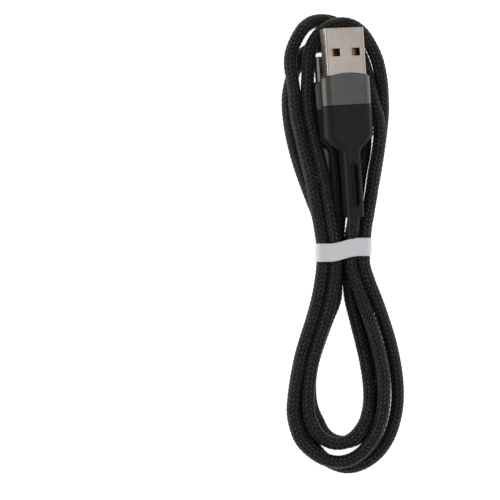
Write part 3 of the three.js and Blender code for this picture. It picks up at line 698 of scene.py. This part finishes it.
class Surface:
    """A material with a Principled shader, and short ways to add nodes to it."""

    def __init__(self, name, base, roughness, metallic=0.0, **sockets):
        self.material = bpy.data.materials.new(name)
        self.material.use_nodes = True
        self.tree = self.material.node_tree
        self.shader = self.tree.nodes["Principled BSDF"]
        self.shader.inputs["Base Color"].default_value = base
        self.shader.inputs["Roughness"].default_value = roughness
        self.shader.inputs["Metallic"].default_value = metallic
        for socket, value in sockets.items():
            self.shader.inputs[socket.replace("_", " ")].default_value = value

    def node(self, kind, inputs=(), **settings):
        """A new node; its inputs are fed values or other nodes' outputs."""
        made = self.tree.nodes.new("ShaderNode" + kind)
        for key, value in settings.items():
            setattr(made, key, value)
        for key, value in dict(inputs).items():
            self.feed(made, key, value)
        return made

    def feed(self, node, key, value):
        if isinstance(value, bpy.types.NodeSocket):
            self.tree.links.new(value, node.inputs[key])
        else:
            node.inputs[key].default_value = value

    def maths(self, operation, *values):
        return self.node("Math", dict(enumerate(values)), operation=operation).outputs[0]

    def noise(self, scale, detail=3):
        where = self.node("TexCoord").outputs["Object"]
        inputs = {"Vector": where, "Scale": scale, "Detail": detail, "Roughness": 0.55}
        return self.node("TexNoise", inputs).outputs["Fac"]

    def between(self, factor, *stops):
        """Colours or greys along a factor: (position, colour) pairs."""
        ramp = self.node("ValToRGB", {"Fac": factor})
        elements = ramp.color_ramp.elements
        while len(elements) < len(stops):
            elements.new(0.5)
        for element, (position, value) in zip(elements, stops):
            element.position = position
            element.color = value if hasattr(value, "__len__") else (value, value, value, 1)
        return ramp.outputs["Color"]

    def bump(self, height, distance, strength):
        node = self.node("Bump", {"Height": height, "Distance": distance * MM, "Strength": strength})
        self.tree.links.new(node.outputs[0], self.shader.inputs["Normal"])

    def base(self, socket):
        self.tree.links.new(socket, self.shader.inputs["Base Color"])

    def rough(self, socket):
        self.tree.links.new(socket, self.shader.inputs["Roughness"])


def braid_material():
    """Nylon yarn: each stitch is a bundle of filaments, with painted shade in the gaps between stitches
    and painted highlights and glints on their crowns.
    """
    s = Surface(
        "braided_nylon", colour(28, 26, 25), 0.5, Specular_IOR_Level=0.25,
        Sheen_Weight=0.08, Sheen_Roughness=0.4, Sheen_Tint=colour(215, 200, 185),
    )
    place = s.node("UVMap", uv_map="weave").outputs[0]
    split = s.node("SeparateXYZ", {0: place})
    column, row = split.outputs[0], split.outputs[1]
    across = s.maths("PINGPONG", column, 1.0)
    edge = s.maths("MULTIPLY", s.maths("ABSOLUTE", s.maths("SUBTRACT", across, 0.5)), 2.0)
    wave = s.maths("COSINE", s.maths("MULTIPLY", row, 2 * np.pi))
    stitch = s.maths("MULTIPLY_ADD", wave, 0.5, 0.5)
    crown = s.maths("SUBTRACT", 1.0, s.maths("POWER", edge, 4.0))
    height = s.maths("MULTIPLY", s.maths("POWER", stitch, 0.6), crown)
    filaments = s.maths("SINE", s.maths("MULTIPLY", row, 2 * np.pi * FILAMENTS))
    # fine noise: fibre fuzz in the relief, and bright painted glint specks in the colour
    fuzz_and_glints = s.noise(1700)
    patches = s.noise(180)
    # painted shade and highlights: near black in the gaps between stitches, light grey on their crowns
    # and on the glint specks
    painted_shade_and_glints = s.maths("MULTIPLY_ADD", fuzz_and_glints, 0.9, s.maths("MULTIPLY_ADD", height, 0.62, -0.12))
    s.base(s.between(
        painted_shade_and_glints, (0.15, colour(2, 2, 2)), (0.5, colour(11, 10, 10)), (0.8, colour(32, 31, 30)),
        (1, colour(80, 77, 75)),
    ))
    s.rough(s.between(patches, (0.3, 0.42), (0.7, 0.62)))
    relief_height = s.maths("MULTIPLY_ADD", filaments, 0.1, s.maths("MULTIPLY_ADD", fuzz_and_glints, 0.25, height))
    s.bump(relief_height, 0.12, 0.8)
    return s.material


def overmould_material():
    """Soft black moulding with a fine spark-eroded grain."""
    s = Surface("black_moulding", colour(22, 21, 22), 0.46, Specular_IOR_Level=0.25)
    grain = s.noise(3800, 2)
    cloud = s.noise(160, 3)
    s.base(s.between(cloud, (0.3, colour(20, 19, 20)), (0.7, colour(25, 24, 25))))
    s.rough(s.between(cloud, (0.3, 0.42), (0.7, 0.52)))
    s.bump(grain, 0.012, 0.6)
    return s.material


def collar_material():
    """Anodised aluminium with a fine blasted grain."""
    s = Surface("anodised_aluminium", colour(92, 95, 91), 0.36, 1.0)
    grain = s.noise(5200, 2)
    cloud = s.noise(120, 3)
    s.base(s.between(cloud, (0.3, colour(88, 91, 87)), (0.7, colour(97, 100, 95))))
    s.rough(s.between(grain, (0.3, 0.33), (0.7, 0.41)))
    s.bump(grain, 0.006, 0.5)
    return s.material


def steel_material():
    """Nickel-plated sheet with faint drawing marks along the plug."""
    s = Surface("nickel_plated_steel", colour(185, 175, 168), 0.3, 1.0)
    marks = s.noise(900, 3)
    cloud = s.noise(140, 3)
    s.base(s.between(cloud, (0.3, colour(181, 171, 163)), (0.7, colour(190, 181, 174))))
    s.rough(s.between(marks, (0.3, 0.26), (0.7, 0.36)))
    s.bump(marks, 0.004, 0.4)
    return s.material


def tie_material():
    """Milky plastic strip."""
    s = Surface(
        "milky_plastic", colour(240, 241, 245), 0.38,
        Subsurface_Weight=0.25, Subsurface_Scale=0.6 * MM, Subsurface_Radius=(1, 1, 1),
    )
    cloud = s.noise(220, 3)
    s.base(s.between(cloud, (0.3, colour(235, 236, 241)), (0.7, colour(245, 246, 249))))
    s.rough(s.between(cloud, (0.3, 0.33), (0.7, 0.45)))
    s.bump(s.noise(700, 2), 0.01, 0.5)
    return s.material


def plain_material(name, base, roughness, metallic=0.0, grain=1500):
    """A moulded or plated part whose colour and gloss vary a little."""
    s = Surface(name, colour(*base), roughness, metallic)
    cloud = s.noise(grain / 6, 3)
    darker = colour(*[0.92 * v for v in base])
    lighter = colour(*[min(255, 1.06 * v) for v in base])
    s.base(s.between(cloud, (0.3, darker), (0.7, lighter)))
    s.rough(s.between(cloud, (0.3, roughness * 0.88), (0.7, min(1, roughness * 1.14))))
    s.bump(s.noise(grain, 2), 0.008, 0.5)
    return s.material


def paint(made, material):
    """Gives a mesh one material, and the slot that it can be changed by."""
    made.data.materials.clear()
    made.data.materials.append(material)


def inner_materials():
    """A material for each kind of CAD node that stays, by a part of its name."""
    gold = plain_material("gold_plating", (176, 128, 64), 0.3, 1.0)
    insulator = plain_material("violet_insulator", (47, 32, 66), 0.45)
    return {
        "insulator": insulator, "housing": insulator,
        "inner_mould": plain_material("inner_moulding", (26, 26, 27), 0.5),
        "board": plain_material("board_laminate", (28, 92, 58), 0.45),
        "resistor": plain_material("resistor_ceramic", (26, 26, 28), 0.4),
        "latch": plain_material("latch_steel", (200, 196, 190), 0.3, 1.0),
        "contact": gold,
        "wire_black": plain_material("wire_black", (24, 24, 24), 0.45),
        "wire_green": plain_material("wire_green", (32, 110, 58), 0.45),
        "wire_white": plain_material("wire_white", (232, 230, 224), 0.45),
        "wire_red": plain_material("wire_red", (168, 32, 32), 0.45),
    }


def paint_inner_nodes(materials):
    """Paints the CAD nodes that no piece of this script replaces."""
    for name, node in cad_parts.items():
        for part, material in materials.items():
            if part in name and not node.hide_render:
                paint(node, material)


# ---- Camera, lights, floor

def camera():
    """Straight above, from where the hank lies to the right of the picture's middle."""
    data = bpy.data.cameras.new("camera")
    data.sensor_width = 36
    data.lens = CAMERA_LENS
    data.clip_start = 0.01
    made = bpy.data.objects.new("camera", data)
    made.location = Vector(CAMERA_PLACE) * MM
    bpy.context.scene.collection.objects.link(made)
    bpy.context.scene.camera = made


def softbox(name, place, aim, width, height, power):
    """A rectangular lamp at a place, turned towards a point."""
    data = bpy.data.lights.new(name, "AREA")
    data.shape = "RECTANGLE"
    data.size, data.size_y = width * MM, height * MM
    data.energy = power
    made = bpy.data.objects.new(name, data)
    made.location = Vector(place) * MM
    direction = Vector(aim) * MM - made.location
    made.rotation_euler = direction.to_track_quat("-Z", "Y").to_euler()
    bpy.context.scene.collection.objects.link(made)


def lights():
    """An even white studio, with one lamp above and a strip on each side."""
    world = bpy.data.worlds.new("studio")
    world.use_nodes = True
    background = world.node_tree.nodes["Background"]
    background.inputs["Color"].default_value = (1, 1, 1, 1)
    background.inputs["Strength"].default_value = 0.43
    bpy.context.scene.world = world
    softbox("overhead", (230, 40, 480), (0, 0, 0), 420, 420, 0.34)
    softbox("left", (-420, 40, 110), (0, 0, 5), 500, 90, 0.5)
    softbox("right", (380, 0, 90), (0, 0, 5), 420, 60, 0.12)
    bpy.context.scene.view_settings.view_transform = "Standard"


def floor():
    """A white table top, lit a little from within so that it comes out white."""
    size = 3000
    corners = [(size * x, size * y, 0) for x, y in CORNERS]
    made = new_object("floor", corners, [(0, 1, 2, 3)])
    s = Surface(
        "white_table", (0.92, 0.92, 0.92, 1), 0.7, Emission_Color=(1, 1, 1, 1), Emission_Strength=0.9,
    )
    made.data.materials.append(s.material)


# ---- Putting it together

camera()
plugs = {name: Plug(name) for name in PLUGS}
line = cord_line(plugs)
last_pass = np.nonzero(line[:, 1] < TAIL_START)[0][-1] + 1
main_line, tail_line = line[:last_pass + 1], line[last_pass:]
yarn = braid_material()

main = braid("bundle_cord", main_line)
paint(main, yarn)
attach(main, "bundle")
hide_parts("cord_hank", "usb_c_cord_tail")

tail = braid("usb_a_cord", tail_line)
paint(tail, yarn)
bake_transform(tail)
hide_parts("usb_a_cord_tail")

moulding, anodised, steel = overmould_material(), collar_material(), steel_material()
for plug in plugs.values():
    pieces = [
        (overmould(plug), moulding, "overmould", "overmould"),
        (collar(plug), anodised, "collar", "collar"),
        (shell(plug), steel, "shell", "shell_steel"),
    ]
    for piece, material, node, slot in pieces:
        plug.place(piece)
        paint(piece, material)
        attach(piece, plug.sizes["body"])
        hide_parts(f"{plug.name}_{node}")

strip = tie()
paint(strip, tie_material())
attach(strip, "bundle")
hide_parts("hank_tie")

paint_inner_nodes(inner_materials())

lights()
floor()
